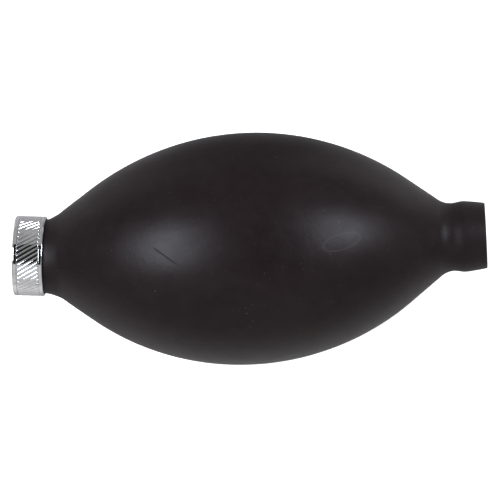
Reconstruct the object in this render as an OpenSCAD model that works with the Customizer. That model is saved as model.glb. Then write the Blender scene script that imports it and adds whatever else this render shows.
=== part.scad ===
// Rubber blower bulb with a one-way inlet valve in its left end and an open outlet neck at its right end.
// The bulb's axis lies along X and points to the outlet. The belly rests on z = 0, at the origin.

/* [Bulb] */
// Diameter of the belly
bulb_d = 50; // [48:0.5:52]
// Distance from the middle of the belly to the cut end of the outlet
outlet_reach = 51.5; // [51:0.5:54]
// Radius of the arc that forms the belly's outline
belly_arc_r = 57.7; // [56.5:0.1:59]
// Slope of the straight flanks that lead into the necks, in degrees
flank_angle = 36.9; // [36:0.1:38]
// Wall thickness of the belly
wall = 2; // [1.8:0.1:2.6]

/* [Necks] */
// Radius of the bore through both necks
neck_bore_r = 4.25; // [4:0.05:4.5]
// Radius of the outlet neck at its waist
waist_r = 7.33; // [7:0.01:7.6]
// Radius of the outlet neck at its low bead
bead_r = 7.65; // [7.4:0.01:8]
// Radius of the outlet neck at its cut end
outlet_end_r = 7.06; // [6.8:0.01:7.3]
// Distance from the waist to the bead
bead_step = 2.5; // [2:0.1:3]
// Radius of the hollow curve between the flank and the outlet neck
outlet_fillet_r = 4.5; // [3:0.1:5]
// Radius of the inlet neck where it enters the cap
inlet_neck_r = 8; // [7.7:0.01:8.02]
// Radius of the hollow curve between the flank and the inlet neck
inlet_fillet_r = 5; // [3:0.1:5.2]
// How far the soft inlet neck leans to the back, with the valve in it, in degrees
inlet_lean = 4.2; // [0:0.1:4.5]

/* [Squeeze pads] */
// Half length of each side wall that is pressed in
pad_half_length = 31; // [28:0.5:32]
// Radius of the pad's round ends, which is half its height
pad_end_r = 15; // [12:0.5:16]
// Gap between a pad and the shell around it
pad_gap = 0.3; // [0.2:0.05:0.5]

/* [Cap] */
// Outside radius of the knurled cap
cap_r = 8.65; // [8.5:0.05:9]
// Distance from the middle of the belly to the open end of the cap's skirt
skirt_reach = 43.85; // [43.8:0.05:44.5]
// Length of the cap
cap_length = 6.6; // [6.4:0.1:7.5]
// Rounding of the cap's outer edges
cap_edge = 0.35; // [0.2:0.05:0.5]
// Thickness of the cap's end wall
cap_end = 0.9; // [0.8:0.1:1]
// Radius of the air inlet in the cap's end wall
inlet_r = 3.5; // [3:0.1:4]
// Depth of the countersink around the air inlet
inlet_chamfer = 0.6; // [0.3:0.1:0.7]
// Width of the smooth rim at the cap's outer end
outer_rim = 0.95; // [0.8:0.05:1.2]
// Width of the smooth rim at the cap's open end
inner_rim = 1; // [0.9:0.05:1.5]
// Width and depth of the groove at each end of the knurled band
rim_groove = 0.2; // [0.1:0.05:0.3]
// Radius inside the cap's skirt
skirt_bore_r = 8.12; // [8.1:0.01:8.2]

/* [Thread] */
// Outside radius of the valve body's threaded rim
thread_r = 7; // [6.9:0.05:7.1]
// Radial clearance between the threaded rim and the cap
thread_gap = 0.05; // [0.02:0.01:0.1]
// Length of the threaded rim
thread_length = 1.9; // [1.8:0.1:2.2]

/* [Air filter] */
// Radius of the pocket for the filter in the cap
pocket_r = 5.6; // [5.4:0.1:5.8]
// Depth of the pocket
pocket_depth = 0.8; // [0.75:0.05:0.9]
// Radius of the gauze disc
gauze_r = 5.5; // [5.2:0.05:5.55]
// Thickness of the gauze
gauze_thickness = 0.2; // [0.15:0.05:0.2]
// Distance from one wire of the gauze to the next
gauze_pitch = 0.9; // [0.8:0.1:1.2]
// Width of one wire of the gauze
gauze_wire = 0.22; // [0.2:0.02:0.3]
// Thickness of the snap ring that holds the gauze
snap_ring_thickness = 0.35; // [0.25:0.05:0.35]
// Width of the snap ring's gap
snap_ring_gap = 2; // [1:0.5:3]
// Thickness of the flat gasket between the cap and the valve body
gasket_thickness = 0.4; // [0.3:0.05:0.5]

/* [Valve] */
// Outside radius of the stem in the neck
stem_r = 4; // [3.7:0.05:4.1]
// Length of the stem behind the threaded rim
stem_length = 11.6; // [11:0.1:12]
// Radius of the stem's barbs
barb_r = 4.7; // [4.5:0.05:4.9]
// Length of one barb
barb_length = 2.4; // [2:0.1:2.6]
// Radius of the air passage through the threaded rim
passage_r = 2; // [1.8:0.1:2.2]
// Radius of the ball's chamber
chamber_r = 2.6; // [2.5:0.05:2.7]
// Radius of the plug that closes the chamber
plug_r = 3; // [2.9:0.05:3.1]
// Radius of the valve ball
ball_r = 1.9; // [1.8:0.05:2]
// How far the ball lifts off its seat
ball_lift = 1.2; // [0.8:0.1:1.3]
// Radius of the spring's coils
spring_r = 1.3; // [1.2:0.05:1.4]
// Diameter of the spring's wire
spring_wire = 0.3; // [0.25:0.01:0.35]
// Number of turns in the spring
spring_turns = 3.5; // [3:0.5:4]

/* [Hidden] */
$fn = 96;
tiny = 0.01;

rubber = "#242021";
chrome = "#c9ccd0";
brass = "#c9a55a";
steel = "#9a9da1";

// The belly is an arc whose centre lies this far beyond the axis.
axis_z = bulb_d / 2;
arc_drop = belly_arc_r - bulb_d / 2;
belly_steps = 16;
fillet_steps = 6;
bead_steps = 6;

// Where each neck begins, measured along the axis from the middle of the belly.
flank_s = belly_arc_r * sin(flank_angle);
flank_r = belly_arc_r * cos(flank_angle) - arc_drop;
function neck_s(neck_r, fillet_r) =
    flank_s + (flank_r - neck_r - fillet_r * (1 - cos(flank_angle))) / tan(flank_angle)
    + fillet_r * sin(flank_angle);
waist_s = neck_s(waist_r, outlet_fillet_r);
bead_s = waist_s + bead_step;
outlet_s = outlet_reach;
bead_taper = 1.35;

// The cap, the valve and the inlet neck lean about the middle of the cap's open end.
// The valve's parts are placed from the cap's face, which is at the left end.
lean_s = -skirt_reach;
cap_s = lean_s - cap_length;
cap_tip_s = lean_s - (cap_length - cap_edge) * cos(inlet_lean)
    - (cap_r - cap_edge) * sin(inlet_lean) - cap_edge;
// The origin is midway between the object's two ends.
belly_x = -(outlet_s + cap_tip_s) / 2;
shoulder_u = cap_end + pocket_depth;
rim_u = shoulder_u + gasket_thickness;
stem_u = rim_u + thread_length;
stem_end_u = stem_u + stem_length;
inlet_s = cap_s + stem_u;
inlet_end_r = 7.5;
neck_clearance = 0.1;
cap_thread_u = stem_u - neck_clearance;

// The neck's root ends inside the cap's open end, and the leaning neck is a sleeve let into the root.
root_s = lean_s - 0.3;
root_bore_r = neck_bore_r + 0.95;
sleeve_end_s = lean_s + 2.6;

// The ball's seat is a 45 degree cone. The ball stays a hair clear of it.
seat_u = 7.5;
seat_length = 1.4;
seat_bore_r = 1.2;
seat_cone = 0.7;
seat_gap = 0.03;
cone_tip_u = seat_u + seat_length - seat_cone - seat_bore_r;
ball_u = cone_tip_u + (ball_r + seat_gap) * sqrt(2);
plug_length = 1.2;
plug_u = stem_end_u - plug_length - 0.2;
spring_start_u = ball_u + sqrt(ball_r * ball_r - spring_r * spring_r) + spring_wire;

// Along the bulb's axis, from the middle of the belly towards the outlet.
module on_axis(s = 0) translate([belly_x + s, 0, axis_z]) rotate([0, 90, 0]) children();

// Along the inlet's leaning axis, from the middle of the belly.
module on_inlet_axis(s = 0)
    translate([belly_x + lean_s, 0, axis_z]) rotate([0, 0, -inlet_lean])
        translate([s - lean_s, 0, 0]) rotate([0, 90, 0]) children();

// Along the inlet's axis, measured from the cap's outer face.
module from_cap(u = 0) on_inlet_axis(cap_s + u) children();

module turned(points) rotate_extrude() polygon(points);

module ring(outer_r, inner_r, length)
    turned([[inner_r, 0], [outer_r, 0], [outer_r, length], [inner_r, length]]);

// ---- bulb ----

function bead_point(s) =
    s < bead_s
        ? [waist_r + (bead_r - waist_r) * (1 - cos(180 * (s - waist_s) / bead_step)) / 2, s]
        : [bead_r - (bead_r - outlet_end_r) * pow((s - bead_s) / (outlet_s - bead_s), bead_taper), s];

function fillet_points(neck_r, fillet_r) = [
    for (i = [0:fillet_steps])
        let (a = flank_angle * (1 - i / fillet_steps))
        [neck_r + fillet_r * (1 - cos(a)), neck_s(neck_r, fillet_r) - fillet_r * sin(a)]
];

function mirrored(points) = [for (i = [len(points) - 1:-1:0]) [points[i][0], -points[i][1]]];

// Outline of the air chamber, from the outlet's bore to the wider bore in the root of the inlet neck.
chamber_arc_r = belly_arc_r - wall;
function mouth_angle(bore_r) = acos((bore_r + arc_drop) / chamber_arc_r);
air_chamber = [
    for (i = [0:2 * belly_steps])
        let (
            from = mouth_angle(neck_bore_r),
            to = -mouth_angle(root_bore_r),
            a = from + (to - from) * i / (2 * belly_steps)
        )
        [chamber_arc_r * cos(a) - arc_drop, chamber_arc_r * sin(a)]
];

// Belly and outlet neck, from the root of the inlet neck to the cut end.
module belly() on_axis() turned(concat(
    [[root_bore_r, root_s], [inlet_neck_r, root_s]],
    mirrored(fillet_points(inlet_neck_r, inlet_fillet_r)),
    [
        for (i = [-belly_steps:belly_steps])
            let (a = flank_angle * i / belly_steps)
            [belly_arc_r * cos(a) - arc_drop, belly_arc_r * sin(a)]
    ],
    fillet_points(waist_r, outlet_fillet_r),
    [for (i = [1:bead_steps]) bead_point(waist_s + bead_step * i / bead_steps)],
    [for (i = [1:bead_steps]) bead_point(bead_s + (outlet_s - bead_s) * i / bead_steps)],
    [[neck_bore_r, outlet_s]],
    air_chamber
));

module pad_outline(gap) {
    straight = pad_half_length - pad_end_r;
    square([2 * straight, 2 * (pad_end_r + gap)], center = true);
    for (x = [-straight, straight]) translate([x, 0]) circle(pad_end_r + gap);
}

// A block through one side of the belly: side is -1 for the front and 1 for the back.
module pad_block(side, gap)
    translate([0, side > 0 ? bulb_d : 0, axis_z])
        rotate([90, 0, 0]) linear_extrude(bulb_d) pad_outline(gap);

module bulb_shell() color(rubber) {
    difference() {
        belly();
        pad_block(-1, pad_gap);
        pad_block(1, pad_gap);
    }
    on_inlet_axis(inlet_s) ring(inlet_end_r, neck_bore_r, sleeve_end_s - inlet_s);
}

module side_wall(side) color(rubber) intersection() {
    belly();
    pad_block(side, 0);
}

module front_wall() side_wall(-1);

module back_wall() side_wall(1);

// ---- one-way valve ----

module barb(u) from_cap(u) turned([
    [chamber_r + tiny, 0], [barb_r, 0], [stem_r, barb_length], [chamber_r + tiny, barb_length]
]);

module valve_body() color(brass) difference() {
    chamfer = 0.25;
    first_barb_u = stem_u + 0.9;
    slot_width = 1.2;
    slot_depth = 0.8;
    slot_inner_r = 3.5;
    union() {
        from_cap() turned([
            [passage_r, rim_u], [thread_r - chamfer, rim_u], [thread_r, rim_u + chamfer],
            [thread_r, stem_u], [stem_r, stem_u], [stem_r, stem_end_u - chamfer],
            [stem_r - chamfer, stem_end_u], [plug_r, stem_end_u], [plug_r, plug_u],
            [chamber_r, plug_u], [chamber_r, seat_u], [passage_r, seat_u]
        ]);
        for (i = [0:1]) barb(first_barb_u + i * barb_length);
    }
    // Two slots for the spanner that holds the body
    for (turn = [0, 180]) from_cap(rim_u - tiny) rotate(turn)
        translate([-slot_width / 2, slot_inner_r, 0]) cube([slot_width, thread_r, slot_depth + tiny]);
}

module cap_gasket() color(rubber) from_cap(shoulder_u) {
    edge_play = 0.15;
    ring(thread_r - edge_play, pocket_r + edge_play, gasket_thickness);
}

module ball_seat() color("#7a2f28") from_cap(seat_u) turned([
    [seat_bore_r, 0], [chamber_r, 0], [chamber_r, seat_length],
    [seat_bore_r + seat_cone, seat_length], [seat_bore_r, seat_length - seat_cone]
]);

module check_ball() color(steel) from_cap(ball_u) sphere(ball_r);

// A round wire along a helix, with flat ends.
module helical_wire(coil_r, wire_d, length, turns) {
    sides = 8;
    steps = 14 * turns;
    tilt = atan(length / (2 * PI * coil_r * turns));
    points = [
        for (i = [0:steps], j = [0:sides - 1])
            let (
                a = 360 * turns * i / steps,
                b = 360 * j / sides,
                out = coil_r + wire_d / 2 * cos(b),
                up = wire_d / 2 * sin(b)
            )
            [
                out * cos(a) + up * sin(tilt) * sin(a),
                out * sin(a) - up * sin(tilt) * cos(a),
                length * i / steps + up * cos(tilt)
            ]
    ];
    sides_of_wire = [
        for (i = [0:steps - 1], j = [0:sides - 1])
            let (k = (j + 1) % sides)
            [i * sides + j, (i + 1) * sides + j, (i + 1) * sides + k, i * sides + k]
    ];
    ends = [
        [for (j = [0:sides - 1]) j],
        [for (j = [sides - 1:-1:0]) steps * sides + j]
    ];
    polyhedron(points, concat(sides_of_wire, ends), convexity = 10);
}

module ball_spring() color(steel) from_cap(spring_start_u)
    helical_wire(spring_r, spring_wire, plug_u - spring_start_u - spring_wire, spring_turns);

module spring_plug() color(brass) from_cap(plug_u) difference() {
    air_holes = 6;
    air_hole_r = 0.5;
    air_hole_reach = 2.05;
    centre_hole_r = 0.7;
    cylinder(plug_length, plug_r, plug_r);
    translate([0, 0, -tiny]) cylinder(plug_length + 2 * tiny, centre_hole_r, centre_hole_r);
    for (i = [0:air_holes - 1]) rotate(360 * i / air_holes) translate([air_hole_reach, 0, -tiny])
        cylinder(plug_length + 2 * tiny, air_hole_r, air_hole_r);
}

// ---- screw cap with its air filter ----

ring_play = 0.05;
ring_groove_depth = 0.35;
ring_groove_u = cap_end + gauze_thickness + ring_play;
ring_groove_width = snap_ring_thickness + 2 * ring_play;

module knurled_cap() color(chrome) from_cap() difference() {
    turned(concat(
        [[inlet_r, cap_end], [inlet_r, inlet_chamfer], [inlet_r + inlet_chamfer, 0]],
        [for (i = [0:4]) let (a = 90 * i / 4)
            [cap_r - cap_edge * (1 - sin(a)), cap_edge * (1 - cos(a))]],
        [for (i = [0:4]) let (a = 90 * i / 4)
            [cap_r - cap_edge * (1 - cos(a)), cap_length - cap_edge * (1 - sin(a))]],
        [
            [skirt_bore_r, cap_length], [skirt_bore_r, cap_thread_u],
            [thread_r + thread_gap, cap_thread_u], [thread_r + thread_gap, shoulder_u],
            [pocket_r, shoulder_u], [pocket_r, cap_end]
        ]
    ));
    for (u = [outer_rim, cap_length - inner_rim])
        translate([0, 0, u]) ring(cap_r + 1, cap_r - rim_groove, rim_groove);
    translate([0, 0, ring_groove_u])
        ring(pocket_r + ring_groove_depth, pocket_r - tiny, ring_groove_width);
}

gauze_gap = 0.02;

module filter_gauze() color(steel) from_cap(cap_end + gauze_gap) linear_extrude(gauze_thickness) {
    border = 0.3;
    opening = gauze_pitch - gauze_wire;
    reach = floor(gauze_r / gauze_pitch);
    difference() {
        circle(gauze_r);
        for (i = [-reach:reach], j = [-reach:reach])
            let (far = gauze_pitch * norm([abs(i) + 0.5, abs(j) + 0.5]))
                if (far < gauze_r - border)
                    translate([i, j] * gauze_pitch) square(opening, center = true);
    }
}

module snap_ring() color(steel) from_cap(ring_groove_u + ring_play) difference() {
    outer_r = pocket_r + ring_groove_depth - 2 * ring_play;
    inner_r = pocket_r - 0.7;
    ring(outer_r, inner_r, snap_ring_thickness);
    translate([inner_r / 2, -snap_ring_gap / 2, -tiny])
        cube([outer_r, snap_ring_gap, snap_ring_thickness + 2 * tiny]);
}

bulb_shell();
front_wall();
back_wall();
valve_body();
cap_gasket();
ball_seat();
check_ball();
ball_spring();
spring_plug();
knurled_cap();
filter_gauze();
snap_ring();
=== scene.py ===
import math

import bpy
import numpy as np
from mathutils import Matrix, Vector


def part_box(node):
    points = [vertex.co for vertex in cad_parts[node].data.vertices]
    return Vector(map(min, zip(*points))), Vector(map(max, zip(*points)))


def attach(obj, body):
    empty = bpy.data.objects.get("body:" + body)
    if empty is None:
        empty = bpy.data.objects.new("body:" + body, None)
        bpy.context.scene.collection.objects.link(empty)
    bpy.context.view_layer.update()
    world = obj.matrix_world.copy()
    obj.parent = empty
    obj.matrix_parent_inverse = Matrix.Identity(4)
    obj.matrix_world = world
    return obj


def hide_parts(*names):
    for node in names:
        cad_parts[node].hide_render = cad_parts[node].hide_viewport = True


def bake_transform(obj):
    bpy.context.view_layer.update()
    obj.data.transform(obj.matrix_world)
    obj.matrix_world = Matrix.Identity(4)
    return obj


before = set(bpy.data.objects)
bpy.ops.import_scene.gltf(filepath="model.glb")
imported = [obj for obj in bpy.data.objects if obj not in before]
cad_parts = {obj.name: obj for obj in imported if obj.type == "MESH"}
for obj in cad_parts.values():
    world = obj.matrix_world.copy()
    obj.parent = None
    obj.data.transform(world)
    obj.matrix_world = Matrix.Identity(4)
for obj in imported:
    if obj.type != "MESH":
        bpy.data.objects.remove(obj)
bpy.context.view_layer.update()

# The scene is built in millimetres along the bulb's axis and turned into metres at the end.
# s is the distance along the axis from the middle of the belly, towards the outlet.
MM = 0.001


def millimetres(corner):
    return [value / MM for value in corner]


SHELL_LOW, SHELL_HIGH = (millimetres(c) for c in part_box("bulb_shell"))
CAP_LOW, CAP_HIGH = (millimetres(c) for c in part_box("knurled_cap"))

AXIS_Z = (SHELL_LOW[2] + SHELL_HIGH[2]) / 2
BELLY_R = (SHELL_HIGH[2] - SHELL_LOW[2]) / 2
OUTLET_S = 51.5  # the outlet neck's cut end
BELLY_X = SHELL_HIGH[0] - OUTLET_S
CAP_R = (CAP_HIGH[2] - CAP_LOW[2]) / 2

# The soft inlet neck leans to the back, with the valve and the cap in it.
LEAN = math.radians(4.2)
LEAN_S = -43.85  # it leans about the middle of the cap's open end
LEAN_REACH, LEAN_FADE = 3, 4  # how far towards the belly the skin starts to lean, and over what length
CAP_LENGTH = 6.6
CAP_S = LEAN_S - CAP_LENGTH

# Distances from the cap's outer face, along the valve's axis
CAP_END, SHOULDER_U, STEM_U = 0.9, 1.7, 4.0  # end wall's inside, thread's end, inlet neck's cut end
INLET_S = CAP_S + STEM_U

# Belly and necks
BELLY_ARC_R = 57.7
ARC_DROP = BELLY_ARC_R - BELLY_R
FLANK_ANGLE = math.radians(36.9)
WALL = 2.0
NECK_BORE_R = 4.25
WAIST_R, OUTLET_FILLET_R = 7.33, 4.5
BEAD_R, BEAD_STEP, OUTLET_END_R = 7.65, 2.5, 7.06
BEAD_TAPER = 1.35  # how late the neck falls from its bead to its cut end: 1 for a straight cone
INLET_NECK_R, INLET_FILLET_R, INLET_END_R = 8.0, 6.5, 7.5
LIP_EDGE = 0.14  # radius of the edges of a neck's cut end
LIP_START = 0.2  # where a neck's plain side begins, from its cut end

# How the soft rubber differs from true arcs
BELLY_SWELL, BELLY_FADE = 0.08, 12  # fuller by this much, growing over this length from each neck
FLANK_SWELL = 0.21  # more of it on the flank before the inlet neck
FLANK_RISE, FLANK_FALL, FLANK_END = 2.5, 7, -33  # the lengths over which it grows and fades, and its end
BELLY_SAG = 0.43  # how far the belly hangs to the front of the line between the necks
SAG_LEAN = 0.4  # how much more of it lies towards the inlet

# Points along the outlines, and columns over half of the bulb
BELLY_STEPS, CHAMBER_STEPS, NECK_STEPS, FLANK_STEPS = 121, 61, 8, 10
HALF_COLUMNS = 97


def neck_s(neck_r, fillet_r):
    """Where the hollow curve after the flank reaches the neck's radius."""
    flank_s = BELLY_ARC_R * math.sin(FLANK_ANGLE)
    flank_r = BELLY_ARC_R * math.cos(FLANK_ANGLE) - ARC_DROP
    drop = flank_r - neck_r - fillet_r * (1 - math.cos(FLANK_ANGLE))
    return flank_s + drop / math.tan(FLANK_ANGLE) + fillet_r * math.sin(FLANK_ANGLE)


WAIST_S = neck_s(WAIST_R, OUTLET_FILLET_R)
BEAD_S = WAIST_S + BEAD_STEP


def fillet(neck_r, fillet_r, steps=14):
    """Points from the flank's end to the neck, as (s, r)."""
    angles = np.linspace(FLANK_ANGLE, 0, steps)
    end = neck_s(neck_r, fillet_r)
    return [(end - fillet_r * math.sin(a), neck_r + fillet_r * (1 - math.cos(a))) for a in angles]


def outlet_neck(steps=16):
    """The outlet neck from its waist over its bead to the cut end."""
    rise = [(WAIST_S + BEAD_STEP * t, WAIST_R + (BEAD_R - WAIST_R) * (1 - math.cos(math.pi * t)) / 2)
            for t in np.linspace(0, 1, steps)[1:]]
    fall = [(BEAD_S + (OUTLET_S - BEAD_S) * t, BEAD_R - (BEAD_R - OUTLET_END_R) * t ** BEAD_TAPER)
            for t in np.linspace(0, 1, steps)[1:]]
    return rise + fall


def arc(centre, radius, start, end, steps):
    """Points on an arc; angles in degrees, 0 along s and 90 along r."""
    angles = np.radians(np.linspace(start, end, steps))
    return [(centre[0] + radius * math.cos(a), centre[1] + radius * math.sin(a)) for a in angles]


def line(start, end, steps):
    """Points after start, up to and with end."""
    start, end = np.array(start), np.array(end)
    return [tuple(start + (end - start) * t) for t in np.linspace(0, 1, steps + 1)[1:]]


def belly_outline():
    """The outside of the rubber, from the inlet's end to the outlet's end."""
    angles = np.linspace(-FLANK_ANGLE, FLANK_ANGLE, BELLY_STEPS)
    belly = [(BELLY_ARC_R * math.sin(a), BELLY_ARC_R * math.cos(a) - ARC_DROP) for a in angles]
    inlet = [(-s, r) for s, r in reversed(fillet(INLET_NECK_R, INLET_FILLET_R))]
    outlet = fillet(WAIST_R, OUTLET_FILLET_R)
    points = [(INLET_S + LIP_START, INLET_END_R)]
    points += line(points[-1], inlet[0], NECK_STEPS) + inlet[1:]
    points += line(points[-1], belly[0], FLANK_STEPS) + belly[1:]
    points += line(points[-1], outlet[0], FLANK_STEPS) + outlet[1:]
    return points + outlet_neck()


def chamber_outline():
    """The inside of the rubber, from the outlet's bore through the air chamber to the inlet's bore."""
    radius = BELLY_ARC_R - WALL
    mouth = math.acos((NECK_BORE_R + ARC_DROP) / radius)
    angles = np.linspace(mouth, -mouth, CHAMBER_STEPS)
    chamber = [(radius * math.sin(a), radius * math.cos(a) - ARC_DROP) for a in angles]
    points = [(OUTLET_S - LIP_START, NECK_BORE_R)]
    points += line(points[-1], chamber[0], NECK_STEPS) + chamber[1:]
    return points + line(points[-1], (INLET_S + LIP_START, NECK_BORE_R), 6)


def lip(s, outer_r, inner_r, outwards):
    """The outer edge and the inner edge of a neck's cut end. outwards is 1 at the outlet, -1 at the inlet."""
    face = 90 - outwards * 90
    edge_s = s - outwards * LIP_EDGE
    outer = arc((edge_s, outer_r - LIP_EDGE), LIP_EDGE, 90, face, 4)
    inner = arc((edge_s, inner_r + LIP_EDGE), LIP_EDGE, face, -90, 4)
    return outer, inner


def place(s, r, theta, lean=0.0):
    """A point at distance s along the axis and r from it. theta is 0 at the top and turns towards the back.
    lean is 0 for the bulb's own axis and 1 for the valve's."""
    s, r, theta = np.broadcast_arrays(s, r, theta)
    y = r * np.sin(theta)
    away = s - LEAN_S
    leaned_s = LEAN_S + away * math.cos(LEAN) + y * math.sin(LEAN)
    leaned_y = y * math.cos(LEAN) - away * math.sin(LEAN)
    x = BELLY_X + s + (leaned_s - s) * lean
    return np.stack([x, y + (leaned_y - y) * lean, AXIS_Z + r * np.cos(theta)], axis=-1) * MM


def smooth(value):
    """0 to 1 with level ends."""
    value = np.clip(value, 0, 1)
    return value * value * (3 - 2 * value)


def link(name, mesh, body, material):
    """Puts a mesh in the scene, riding on a body if there is one."""
    obj = bpy.data.objects.new(name, mesh)
    bpy.context.scene.collection.objects.link(obj)
    mesh.materials.append(material)
    if body:
        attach(obj, body)
    return obj


def grid_faces(rows, columns, wrap_rows, wrap_columns):
    """Quads over a grid of rows by columns vertices, numbered row by row."""
    faces = []
    for i in range(rows if wrap_rows else rows - 1):
        k = (i + 1) % rows
        for j in range(columns if wrap_columns else columns - 1):
            m = (j + 1) % columns
            faces.append((i * columns + j, i * columns + m, k * columns + m, k * columns + j))
    return faces


def mesh_from(name, points, faces, sharp):
    """A smooth-shaded mesh. Edges that turn by more than sharp degrees stay crisp."""
    mesh = bpy.data.meshes.new(name)
    mesh.from_pydata([tuple(p) for p in np.reshape(points, (-1, 3))], [], faces)
    mesh.validate()
    mesh.shade_smooth()
    mesh.set_sharp_from_angle(angle=math.radians(sharp))
    return mesh


def lathe(name, profile, columns, radial, twist, sharp):
    """A closed outline turned about the valve's axis. radial(s, r, theta) gives the radius, as for teeth.
    twist(s) turns each row of the mesh, so that its columns can follow slanting teeth."""
    s = np.array([p[0] for p in profile])[:, None]
    r = np.array([p[1] for p in profile])[:, None]
    theta = np.linspace(0, 2 * math.pi, columns, endpoint=False)[None, :] + twist(s)
    faces = [face[::-1] for face in grid_faces(len(profile), columns, True, True)]
    return mesh_from(name, place(s, radial(s, r, theta), theta, 1), faces, sharp)


# ---- materials ----

class Nodes:
    """Short calls for building one node material."""

    def __init__(self, name):
        self.material = bpy.data.materials.new(name)
        self.material.use_nodes = True
        self.tree = self.material.node_tree
        self.shader = self.tree.nodes["Principled BSDF"]
        self.place = self.add("ShaderNodeTexCoord").outputs["Object"]

    @classmethod
    def on_world(cls, world):
        """The same short calls for the nodes of a world."""
        made = cls.__new__(cls)
        made.tree = world.node_tree
        return made

    def add(self, kind, inputs=None, **settings):
        made = self.tree.nodes.new(kind)
        for key, value in settings.items():
            setattr(made, key, value)
        for key, value in (inputs or {}).items():
            if isinstance(value, bpy.types.NodeSocket):
                self.tree.links.new(value, made.inputs[key])
            else:
                made.inputs[key].default_value = value
        return made

    def noise(self, size_mm, detail, roughness=0.5):
        """Noise whose features are about size_mm across."""
        texture = self.add("ShaderNodeTexNoise", {
            "Vector": self.place, "Scale": 1 / (size_mm * MM), "Detail": detail, "Roughness": roughness})
        return texture.outputs["Fac"]

    def ramp(self, value, low, high, to_low=0.0, to_high=1.0):
        """value from low..high to to_low..to_high, held at the ends."""
        made = self.add("ShaderNodeMapRange", {
            "Value": value, "From Min": low, "From Max": high, "To Min": to_low, "To Max": to_high})
        return made.outputs["Result"]

    def soft_ramp(self, value, low, high, to_low, to_high):
        """A ramp with level ends."""
        made = self.add("ShaderNodeMapRange", {
            "Value": value, "From Min": low, "From Max": high, "To Min": to_low, "To Max": to_high},
            interpolation_type="SMOOTHSTEP")
        return made.outputs["Result"]

    def mix(self, factor, a, b):
        made = self.add("ShaderNodeMix", {"Factor": factor}, data_type="RGBA")
        for socket, value in ((made.inputs[6], a), (made.inputs[7], b)):
            if isinstance(value, bpy.types.NodeSocket):
                self.tree.links.new(value, socket)
            else:
                socket.default_value = (*value, 1)
        return made.outputs[2]

    def math(self, operation, a, b):
        return self.add("ShaderNodeMath", {0: a, 1: b}, operation=operation).outputs[0]

    def size(self, value):
        """value without its sign."""
        return self.math("ABSOLUTE", value, 0.0)

    def parts(self, vector):
        """X, Y and Z of a vector."""
        return self.add("ShaderNodeSeparateXYZ", {0: vector}).outputs

    def vector(self, operation, a, b):
        """The number that a vector operation gives."""
        return self.add("ShaderNodeVectorMath", {0: a, 1: b}, operation=operation).outputs["Value"]

    def bump(self, height, depth_mm, normal=None):
        inputs = {"Height": height, "Distance": depth_mm * MM, "Strength": 1.0}
        if normal is not None:
            inputs["Normal"] = normal
        return self.add("ShaderNodeBump", inputs).outputs["Normal"]

    def set(self, **values):
        """Sockets of the shader, by name with _ for a space."""
        for key, value in values.items():
            socket = self.shader.inputs[key.replace("_", " ")]
            if isinstance(value, bpy.types.NodeSocket):
                self.tree.links.new(value, socket)
            else:
                socket.default_value = value
        return self.material


# Two marks on the belly's top: their middles, in mm, and their turn from the bulb's axis, in degrees
SCRATCH_MIDDLE, SCRATCH_TURN = (-16.75, -1.2), -37.5
SCRATCH_WIDTH = (0.06 * MM, 0.22 * MM)  # half of it, full depth and faded out
SCRATCH_REACH = (2.2 * MM, 3.9 * MM)  # half of its length, likewise
OVAL_MIDDLE, OVAL_TURN = (20.6, 0.0), 14.8
OVAL_LONG, OVAL_SHORT = 4.2 * MM, 1.65 * MM  # half of its length and width
OVAL_LINE = (0.02, 0.13)  # half of its line's width, as a share of the oval, full depth and faded out
OVAL_WANDER = 400  # how much of the scratch's wander the oval's line has, for each metre
MARK_WANDER = 0.4 * MM
MARKS_FROM_Z, MARKS_TO_Z = 0.030, 0.036  # metres; the marks fade in over this height, so none is underneath
NECKS_FROM_X, NECKS_TO_X = 0.038, 0.044  # metres from the middle; the necks' rubber is rougher

RUBBER_DARK, RUBBER_BLOOM = (0.0062, 0.0030, 0.0035), (0.0092, 0.0052, 0.0058)
RUBBER_CLOUD = (0.0120, 0.0080, 0.0085)
SPECK, RUBBED = (0.11, 0.10, 0.10), (0.035, 0.033, 0.034)


def along_line(n, centre, angle):
    """Absolute distances along and across a line on the bulb's top, from a centre in millimetres."""
    turn = math.radians(angle)
    out = []
    for direction in ((math.cos(turn), math.sin(turn), 0), (-math.sin(turn), math.cos(turn), 0)):
        reach = n.vector("DOT_PRODUCT", n.place, direction)
        offset = (centre[0] * direction[0] + centre[1] * direction[1]) * MM
        out.append(n.size(n.math("SUBTRACT", reach, offset)))
    return out


def rubber_marks(n, top):
    """One thin scratch and one faint oval rub mark, as a height from 0 to 1 for each."""
    wander = n.math("MULTIPLY", n.math("SUBTRACT", n.noise(2.5, 2), 0.5), MARK_WANDER)
    along, across = along_line(n, SCRATCH_MIDDLE, SCRATCH_TURN)
    across = n.size(n.math("ADD", across, wander))
    scratch = n.math("MULTIPLY", n.ramp(across, *SCRATCH_WIDTH, 1, 0), n.ramp(along, *SCRATCH_REACH, 1, 0))
    along, across = along_line(n, OVAL_MIDDLE, OVAL_TURN)
    along, across = n.math("DIVIDE", along, OVAL_LONG), n.math("DIVIDE", across, OVAL_SHORT)
    squares = n.math("ADD", n.math("MULTIPLY", along, along), n.math("MULTIPLY", across, across))
    reach = n.math("ADD", n.math("SQRT", squares, 0.0), n.math("MULTIPLY", wander, OVAL_WANDER))
    line_offset = n.size(n.math("SUBTRACT", reach, 1.0))
    patchy = n.ramp(n.noise(2.2, 2), 0.35, 0.6, 0.3, 1)
    oval = n.math("MULTIPLY", n.ramp(line_offset, *OVAL_LINE, 1, 0), patchy)
    return n.math("MULTIPLY", scratch, top), n.math("MULTIPLY", oval, top)


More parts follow.
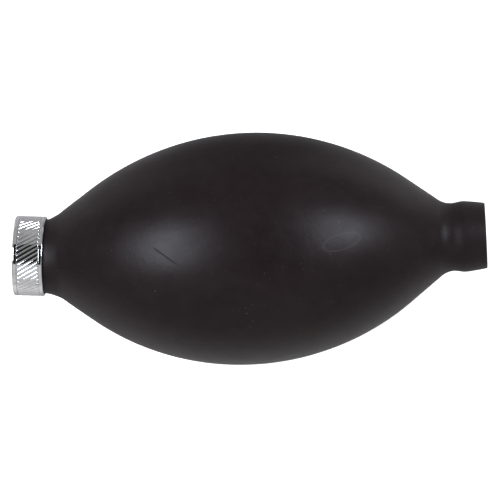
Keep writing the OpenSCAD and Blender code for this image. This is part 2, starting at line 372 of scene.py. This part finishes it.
def bulb_rubber():
    """Brownish-black moulded rubber: matt grain, faint bloom, pale specks, a scratch and a rub mark."""
    n = Nodes("bulb_rubber")
    bloom = n.ramp(n.noise(14, 4, 0.55), 0.35, 0.7)
    cloud = n.ramp(n.noise(3.2, 4, 0.6), 0.4, 0.75)
    base = n.mix(bloom, RUBBER_DARK, RUBBER_BLOOM)
    base = n.mix(n.math("MULTIPLY", cloud, 0.5), base, RUBBER_CLOUD)
    specks = n.ramp(n.noise(0.55, 1.0, 0.4), 0.755, 0.80)
    base = n.mix(n.math("MULTIPLY", specks, 0.3), base, SPECK)
    waves, skin, grain = n.noise(9, 2, 0.4), n.noise(0.9, 3, 0.5), n.noise(0.16, 4, 0.62)
    normal = n.bump(grain, 0.015, n.bump(skin, 0.024, n.bump(waves, 0.06)))
    spot = n.parts(n.place)
    scratch, oval = rubber_marks(n, n.ramp(spot["Z"], MARKS_FROM_Z, MARKS_TO_Z))
    normal = n.bump(n.math("SUBTRACT", n.math("MULTIPLY", oval, 0.5), scratch), 0.02, normal)
    base = n.mix(n.math("MULTIPLY", oval, 0.42), base, RUBBED)
    roughness = n.ramp(n.noise(5, 5, 0.6), 0.3, 0.75, 0.34, 0.41)
    roughness = n.math("ADD", roughness, n.math("MULTIPLY", scratch, 0.2))
    matt_necks = n.ramp(n.size(spot["X"]), NECKS_FROM_X, NECKS_TO_X, 0.0, 0.14)
    roughness = n.math("ADD", roughness, matt_necks)
    return n.set(Base_Color=base, Roughness=roughness, Normal=normal, IOR=1.25)


def cap_chrome():
    """Bright chrome with a thin haze."""
    n = Nodes("cap_chrome")
    haze = n.noise(1.4, 4, 0.6)
    base = n.mix(n.ramp(haze, 0.35, 0.7), (0.74, 0.74, 0.75), (0.62, 0.62, 0.635))
    roughness = n.ramp(n.noise(0.5, 4, 0.6), 0.3, 0.75, 0.035, 0.08)
    normal = n.bump(n.noise(0.3, 3, 0.5), 0.001)
    return n.set(Base_Color=base, Roughness=roughness, Normal=normal, Metallic=1.0)


def metal(name, light, dark, low, high):
    """Turned or drawn metal. low and high are the limits of its roughness."""
    n = Nodes(name)
    base = n.mix(n.ramp(n.noise(1.1, 4, 0.6), 0.35, 0.7), light, dark)
    roughness = n.ramp(n.noise(0.4, 4, 0.6), 0.3, 0.75, low, high)
    normal = n.bump(n.noise(0.25, 3, 0.5), 0.002)
    return n.set(Base_Color=base, Roughness=roughness, Normal=normal, Metallic=1.0)


def soft_rubber(name, light, dark):
    """Matt rubber of the small inner pieces."""
    n = Nodes(name)
    base = n.mix(n.ramp(n.noise(1.3, 4, 0.6), 0.35, 0.7), light, dark)
    roughness = n.ramp(n.noise(0.8, 4, 0.6), 0.3, 0.75, 0.5, 0.7)
    return n.set(Base_Color=base, Roughness=roughness, Normal=n.bump(n.noise(0.15, 3, 0.5), 0.006))


RUBBER = bulb_rubber()
CHROME = cap_chrome()
BRASS = metal("valve_brass", (0.72, 0.50, 0.22), (0.55, 0.36, 0.15), 0.2, 0.36)
BALL = metal("ball_steel", (0.66, 0.67, 0.69), (0.55, 0.56, 0.58), 0.06, 0.14)
WIRE = metal("spring_steel", (0.45, 0.46, 0.48), (0.33, 0.33, 0.35), 0.22, 0.4)
GAUZE = metal("gauze_steel", (0.56, 0.57, 0.58), (0.42, 0.42, 0.43), 0.25, 0.42)
GASKET = soft_rubber("gasket_rubber", (0.03, 0.03, 0.03), (0.02, 0.02, 0.021))
SEAT = soft_rubber("seat_rubber", (0.32, 0.07, 0.05), (0.22, 0.045, 0.03))


# ---- bulb skin ----

def belly_sag(s):
    """Sideways offset of the belly, none at the necks."""
    reach = np.clip(s / -LEAN_S, -1, 1)
    return -BELLY_SAG * (1 - reach ** 4) * (1 - SAG_LEAN * reach)


def fuller(s):
    """How much wider the soft belly is than the true arc, most on the flank before the inlet neck."""
    belly = BELLY_SWELL * smooth((s - LEAN_S) / BELLY_FADE) * smooth((WAIST_S - s) / BELLY_FADE)
    flank = FLANK_SWELL * smooth((s - LEAN_S) / FLANK_RISE) * smooth((FLANK_END - s) / FLANK_FALL)
    return belly + flank


def skin_points(s, r, theta):
    """Points of the rubber: fuller than true arcs, its inlet neck leaning and its belly sagging."""
    lean = smooth((LEAN_S + LEAN_REACH - s) / LEAN_FADE)
    points = place(s, r + fuller(s), theta, lean)
    points[..., 1] += belly_sag(s) * MM
    return points


def bulb_skin(name, side):
    """Half of the bulb, wall and all. side is -1 for the front half and 1 for the back half."""
    outer_lip, outlet_inner = lip(OUTLET_S, OUTLET_END_R, NECK_BORE_R, 1)
    inlet_outer, inlet_inner = lip(INLET_S, INLET_END_R, NECK_BORE_R, -1)
    outline = belly_outline()[:-1] + outer_lip + outlet_inner + chamber_outline()
    outline += list(reversed(inlet_inner)) + list(reversed(inlet_outer))
    profile = np.array(outline)
    s, r = profile[:, :1], profile[:, 1:]
    theta = np.linspace(0, math.pi, HALF_COLUMNS)[None, :] * side
    points = skin_points(s, r, theta)
    faces = grid_faces(len(outline), HALF_COLUMNS, True, False)
    if side > 0:
        faces = [face[::-1] for face in faces]
    top = [i * HALF_COLUMNS for i in range(len(outline))]
    bottom = [i + HALF_COLUMNS - 1 for i in top]
    faces += [tuple(top), tuple(reversed(bottom))] if side < 0 else [tuple(reversed(top)), tuple(bottom)]

    # Exact normals of the whole shape, so that the two halves shade as one
    nudge = 0.001
    around = skin_points(s, r, theta + nudge) - skin_points(s, r, theta - nudge)
    along = np.gradient(np.concatenate([points[-1:], points, points[:1]]), axis=0)[1:-1]
    normals = np.cross(along, around).reshape(-1, 3)
    normals /= np.linalg.norm(normals, axis=1)[:, None]

    mesh = mesh_from(name, points, faces, sharp=180)
    corner_vertex = np.zeros(len(mesh.loops), int)
    mesh.loops.foreach_get("vertex_index", corner_vertex)
    corner_normals = normals[corner_vertex]
    for cut in (mesh.polygons[-1], mesh.polygons[-2]):
        corner_normals[list(cut.loop_indices)] = cut.normal
    mesh.normals_split_custom_set([tuple(v) for v in corner_normals])
    return link(name, mesh, None, RUBBER)


skin_front = bulb_skin("skin_front", -1)
skin_back = bulb_skin("skin_back", 1)
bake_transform(skin_front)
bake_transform(skin_back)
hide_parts("bulb_shell", "front_wall")
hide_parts("back_wall")

# ---- knurled cap ----

TEETH = 52
TOOTH_PHASE = 0.9  # of a tooth's width, where the first one starts
HELIX = math.radians(33)  # angle between the teeth and the cap's axis
TOOTH_LEAN = -math.tan(HELIX)  # how far a tooth moves round the cap for each millimetre along it
COLUMNS = 28  # mesh columns for each tooth
ROOT_SLOPE = 1.5  # of a tooth's sides, where they meet the next tooth
FULLNESS = 5  # how square the rounded teeth are: 2 for a plain arch, more for a flatter back
TOOTH_TOP = 0.01  # how far the teeth's backs lie below the plain rims
TOOTH_RISE = 0.24  # over this length the teeth grow at the cap's outer end
TOOTH_RISE_FROM = 0.35  # the share of their depth that they start with
END_BEVEL, END_BEVEL_LENGTH = 0.02, 0.05  # the teeth's bevel at the cap's open end
OUTER_RIM, INNER_RIM = 0.95, 1.0
RIM_GROOVE = 0.2  # width and depth of the groove on each side of the teeth
GROOVE_EDGE = 0.05
EDGE_R = 0.35  # the cap's outer edges
SKIRT_R, THREAD_R, POCKET_R, INLET_R = 8.12, 7.05, 5.6, 3.5
INLET_CHAMFER = 0.6
RING_FROM, RING_TO, RING_DEPTH = 0.25, 0.72, 0.35  # the snap ring's groove in the filter pocket
CREASE = 0.04  # between close rows of points that keep an edge crisp
THREAD_PITCH, THREAD_DEPTH = 0.5, 0.16
SAME = 1e-6  # millimetres; two places closer than this are one


def tooth(phase):
    """Depth below the back of a rounded tooth."""
    half_pitch = math.pi * CAP_R / TEETH * math.cos(HELIX)
    off = np.abs((phase + TOOTH_PHASE) % 1 - 0.5) * 2
    return half_pitch * ROOT_SLOPE / FULLNESS * off ** FULLNESS


def cap_outline():
    """The cap's closed outline: end face, edges, band, skirt, thread, filter pocket and air inlet."""
    start, end = CAP_S, CAP_S + CAP_LENGTH
    skirt_s, shoulder_s, wall_s = start + STEM_U - 0.1, start + SHOULDER_U, start + CAP_END
    threaded = (shoulder_s + 0.1, skirt_s - 0.1)
    groove_a, groove_b = start + OUTER_RIM, end - INNER_RIM
    band_a, band_b = groove_a + RIM_GROOVE, groove_b - 0.02
    rim_b = groove_b + RIM_GROOVE
    floor_r, low_r = CAP_R - RIM_GROOVE, CAP_R - GROOVE_EDGE

    # Air inlet, end face and outer rim
    points = [(wall_s, INLET_R), (start + INLET_CHAMFER, INLET_R)]
    points += line(points[-1], (start + CREASE, INLET_R + INLET_CHAMFER - CREASE), 3)
    points += [(start, INLET_R + INLET_CHAMFER + 0.05)]
    points += line(points[-1], (start, CAP_R - EDGE_R), 6)
    points += arc((start + EDGE_R, CAP_R - EDGE_R), EDGE_R, 180, 90, 7)[1:]
    points += [(start + EDGE_R + CREASE, CAP_R), (groove_a - 2 * CREASE, CAP_R), (groove_a - CREASE, CAP_R)]

    # Groove, toothed band, groove
    points += [(groove_a, low_r), (groove_a + GROOVE_EDGE, floor_r), (band_a - GROOVE_EDGE, floor_r)]
    points += [(s, CAP_R) for s in np.linspace(band_a, band_a + TOOTH_RISE, 5)]
    points += [(s, CAP_R) for s in np.linspace(band_a + 0.5, band_b - 0.5, 8)]
    points += [(s, CAP_R) for s in (band_b - 0.3, band_b - 0.1, band_b - END_BEVEL_LENGTH, band_b)]
    points += [(groove_b + CREASE, floor_r), (rim_b - GROOVE_EDGE, floor_r), (rim_b, low_r)]

    # Inner rim, skirt and thread
    points += [(rim_b + CREASE, CAP_R), (rim_b + 2 * CREASE, CAP_R), (end - EDGE_R - CREASE, CAP_R)]
    points += arc((end - EDGE_R, CAP_R - EDGE_R), EDGE_R, 90, 20, 7)
    points += [(end - 0.03, SKIRT_R + 0.1), (end - 0.1, SKIRT_R)]
    points += line(points[-1], (skirt_s, SKIRT_R), 3)
    points += [(skirt_s, THREAD_R + 0.2)]
    points += [(s, THREAD_R) for s in np.linspace(threaded[1], threaded[0], 46)]

    # Filter pocket, with the groove for its snap ring
    ring_a, ring_b, ring_r = wall_s + RING_FROM, wall_s + RING_TO, POCKET_R + RING_DEPTH
    points += [(shoulder_s, THREAD_R), (shoulder_s, POCKET_R), (ring_b, POCKET_R), (ring_b - 0.02, ring_r)]
    points += [(ring_a + 0.02, ring_r), (ring_a, POCKET_R), (wall_s, POCKET_R)]
    return points, (band_a, band_b), threaded


def thread(s, theta):
    """Depth of a right-hand thread below its crest, 0 to 1, with its cap end at the inlet."""
    phase = (s / THREAD_PITCH + theta / (2 * math.pi)) % 1
    return np.abs(phase - 0.5) * 2


def knurled_cap():
    """The screw cap, with slanting teeth outside and a thread inside."""
    outline, band, threaded = cap_outline()

    def twist(s):
        return -(np.clip(s, *band) - band[0]) * TOOTH_LEAN / CAP_R

    def radial(s, r, theta):
        depth = tooth((theta - twist(s)) * TEETH / (2 * math.pi))
        grown = np.clip((s - band[0]) / TOOTH_RISE + TOOTH_RISE_FROM, 0, 1)
        bevel = END_BEVEL * (1 - np.clip((band[1] - s) / END_BEVEL_LENGTH, 0, 1))
        on_band = (s >= band[0] - SAME) & (s <= band[1] + SAME) & (r > CAP_R - SAME)
        inside = (s >= threaded[0] - SAME) & (s <= threaded[1] + SAME) & (np.abs(r - THREAD_R) < SAME)
        cut = np.where(on_band, TOOTH_TOP + depth * grown + bevel, 0)
        return r - cut + np.where(inside, THREAD_DEPTH * thread(s, theta), 0)

    mesh = lathe("cap_knurled", outline, TEETH * COLUMNS, radial, twist, sharp=28)
    obj = link("cap_knurled", mesh, "cap", CHROME)
    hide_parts("knurled_cap")


knurled_cap()

# ---- ball spring ----

COIL_R, WIRE_R, COIL_TURNS = 1.3, 0.15, 3.5
COIL_U, COIL_LENGTH = 11.46, 2.44  # where the wire starts, from the cap's face, and how far it runs
COIL_CLOSING = 0.35  # how much closer the coils lie at the ends than in the middle
COIL_STEPS, WIRE_SIDES = 141, 14
COIL_MARGIN = 0.7  # how far beyond the wire's ends the two end points on the valve's axis lie


def coil_spring():
    """Round wire behind the valve ball."""
    part = np.linspace(0, 1, COIL_STEPS)[:, None]
    round_wire = np.linspace(0, 2 * math.pi, WIRE_SIDES, endpoint=False)[None, :]
    along = part - COIL_CLOSING * np.sin(2 * math.pi * part) / (2 * math.pi)
    s = CAP_S + COIL_U + COIL_LENGTH * along + WIRE_R * np.sin(round_wire)
    points = place(s, COIL_R + WIRE_R * np.cos(round_wire), 2 * math.pi * COIL_TURNS * part, 1)
    faces = grid_faces(COIL_STEPS, WIRE_SIDES, False, True)
    last = (COIL_STEPS - 1) * WIRE_SIDES
    faces += [tuple(reversed(range(WIRE_SIDES))), tuple(range(last, last + WIRE_SIDES))]
    obj = link("ball_spring_wire", mesh_from("ball_spring_wire", points, faces, sharp=60), None, WIRE)
    ends = [CAP_S + COIL_U + COIL_LENGTH + COIL_MARGIN, CAP_S + COIL_U - COIL_MARGIN]
    fixed, moving = (tuple(float(v) for v in place(end, 0, 0, 1)) for end in ends)
    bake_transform(obj)
    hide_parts("ball_spring")


coil_spring()

# The other pieces are the CAD pieces themselves, with materials of their own.
for node, material in (
    ("valve_body", BRASS), ("spring_plug", BRASS), ("cap_gasket", GASKET), ("ball_seat", SEAT),
    ("check_ball", BALL), ("snap_ring", WIRE), ("filter_gauze", GAUZE),
):
    cad_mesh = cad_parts[node].data
    cad_mesh.materials.clear()
    cad_mesh.materials.append(material)

# ---- stage, light and camera ----

CENTRE = Vector((0, 0, AXIS_Z * MM))
FLOOR_HALF = 3.0
FLOOR_COLOUR, FLOOR_GLOW = (0.93, 0.93, 0.93), 0.5
# What reflections see of the floor, and where one colour gives way to the next, in metres
BEHIND, BEHIND_ENDS = (0.14, 0.134, 0.128), (0.95, 0.90, 0.85)
IN_FRONT, BY_THE_CAP = (0.62, 0.59, 0.55), (0.36, 0.34, 0.32)
RIGHT_X, LEFT_X, LEFT_SHARE = (0.02, 0.10), (-0.10, -0.02), 0.55
BACK_Y = (-0.10, 0.06)
CAP_SPOT, CAP_REACH = (-0.048, 0, 0), (0.02, 0.06)

OVERHEAD_OFFSET, OVERHEAD_R = 4.2, 29.5  # the dark patch overhead, in degrees
OVERHEAD_DARK, OVERHEAD_EDGE = 0.02, 1  # its own strength, and half of its soft edge in degrees
SKY_FRONT, SKY_BACK, SKY_FROM, SKY_TO = 0.66, 0.42, -0.6, 0.5  # strengths, and where in Y they change
ENDS_DIM, ENDS_FROM, ENDS_TO = 0.45, 0.6, 0.95  # the share left beyond the bulb's ends, and where in X

SOFTBOX_DISTANCE, SOFTBOX_COLOUR = 0.9, (0.90, 0.95, 1.04)
CAMERA_DISTANCE, FRAMED_WIDTH = 0.89, 0.10812
CAMERA_SWING, CAMERA_ROLL = math.radians(2.6), math.radians(2.72)
AIM_RIGHT, AIM_DOWN = 0.00025, 0.00072  # how far off the belly's middle the camera aims


def floor():
    """A white table. Reflections see it dimmer than it looks, most of all behind the bulb."""
    mesh = bpy.data.meshes.new("floor")
    corners = [(x * FLOOR_HALF, y * FLOOR_HALF, 0) for x, y in ((-1, -1), (1, -1), (1, 1), (-1, 1))]
    mesh.from_pydata(corners, [], [(0, 1, 2, 3)])
    n = Nodes("floor_white")
    seen_by = n.add("ShaderNodeLightPath").outputs
    spot = n.parts(n.place)
    right, left = n.ramp(spot["X"], *RIGHT_X), n.ramp(spot["X"], *LEFT_X, LEFT_SHARE, 0.0)
    behind = n.mix(n.math("ADD", right, left), BEHIND, BEHIND_ENDS)
    reflected = n.mix(n.ramp(spot["Y"], *BACK_Y), IN_FRONT, behind)
    to_cap = n.vector("DISTANCE", n.place, CAP_SPOT)
    reflected = n.mix(n.ramp(to_cap, *CAP_REACH), BY_THE_CAP, reflected)
    base = n.mix(seen_by["Is Glossy Ray"], FLOOR_COLOUR, reflected)
    glow = n.math("MULTIPLY", seen_by["Is Camera Ray"], FLOOR_GLOW)
    material = n.set(Base_Color=base, Roughness=0.85, Emission_Color=(1, 1, 1, 1), Emission_Strength=glow)
    obj = link("floor", mesh, None, material)


def world_light():
    """White surroundings, dimmer behind the bulb, with a dark patch overhead for the camera's stand."""
    world = bpy.data.worlds.new("surroundings")
    bpy.context.scene.world = world
    world.use_nodes = True
    n = Nodes.on_world(world)

    direction = n.add("ShaderNodeTexCoord").outputs["Generated"]
    tilt = math.radians(OVERHEAD_OFFSET)
    overhead = n.vector("DOT_PRODUCT", direction, (0, math.sin(tilt), math.cos(tilt)))
    inner, outer = (math.cos(math.radians(OVERHEAD_R + side * OVERHEAD_EDGE)) for side in (-1, 1))
    open_sky = n.soft_ramp(overhead, inner, outer, 0.0, 1.0)
    spot = n.parts(direction)
    ends = n.soft_ramp(n.size(spot["X"]), ENDS_FROM, ENDS_TO, 1.0, ENDS_DIM)
    level = n.soft_ramp(spot["Y"], SKY_FROM, SKY_TO, SKY_FRONT, SKY_BACK)
    lit = n.math("MULTIPLY", open_sky, n.math("MULTIPLY", level, ends))
    background = n.tree.nodes["Background"]
    background.inputs["Color"].default_value = (1, 1, 1, 1)
    n.tree.links.new(n.math("ADD", lit, OVERHEAD_DARK), background.inputs["Strength"])


def softbox(name, azimuth, off_zenith, size, power):
    """An area light aimed at the bulb, its first side along Y. azimuth, in degrees, runs from +X to +Y."""
    data = bpy.data.lights.new(name, "AREA")
    data.shape = "RECTANGLE"
    data.size, data.size_y = size
    data.energy = power
    data.color = SOFTBOX_COLOUR
    obj = bpy.data.objects.new(name, data)
    bpy.context.scene.collection.objects.link(obj)
    tilt, turn = math.radians(off_zenith), math.radians(azimuth)
    away = Vector((math.sin(tilt) * math.cos(turn), math.sin(tilt) * math.sin(turn), math.cos(tilt)))
    side = (Vector((0, 1, 0)) - away * away.y).normalized()
    obj.matrix_world = (Matrix.Translation(CENTRE + away * SOFTBOX_DISTANCE)
                        @ Matrix((side, away.cross(side), away)).transposed().to_4x4())


def camera():
    """Almost straight down on the bulb, with the outlet to the right and a little nearer."""
    back = Vector((math.sin(CAMERA_SWING), 0, math.cos(CAMERA_SWING)))
    level = Vector((math.cos(CAMERA_SWING), 0, -math.sin(CAMERA_SWING)))
    right = (Matrix.Rotation(-CAMERA_ROLL, 3, back) @ level).normalized()
    up = back.cross(right)
    aim = CENTRE + right * AIM_RIGHT - up * AIM_DOWN
    data = bpy.data.cameras.new("camera")
    data.sensor_width = 36
    data.lens = data.sensor_width * CAMERA_DISTANCE / FRAMED_WIDTH
    data.clip_start, data.clip_end = 0.01, 20
    obj = bpy.data.objects.new("camera", data)
    bpy.context.scene.collection.objects.link(obj)
    turn = Matrix((right, up, back)).transposed().to_4x4()
    obj.matrix_world = Matrix.Translation(aim + back * CAMERA_DISTANCE) @ turn
    bpy.context.scene.camera = obj


floor()
world_light()
softbox("softbox_left", azimuth=170.5, off_zenith=36.8, size=(0.52, 0.23), power=8.0)
softbox("softbox_right", azimuth=19, off_zenith=45.2, size=(0.46, 0.20), power=6.0)
camera()
bpy.context.scene.view_settings.view_transform = "Standard"
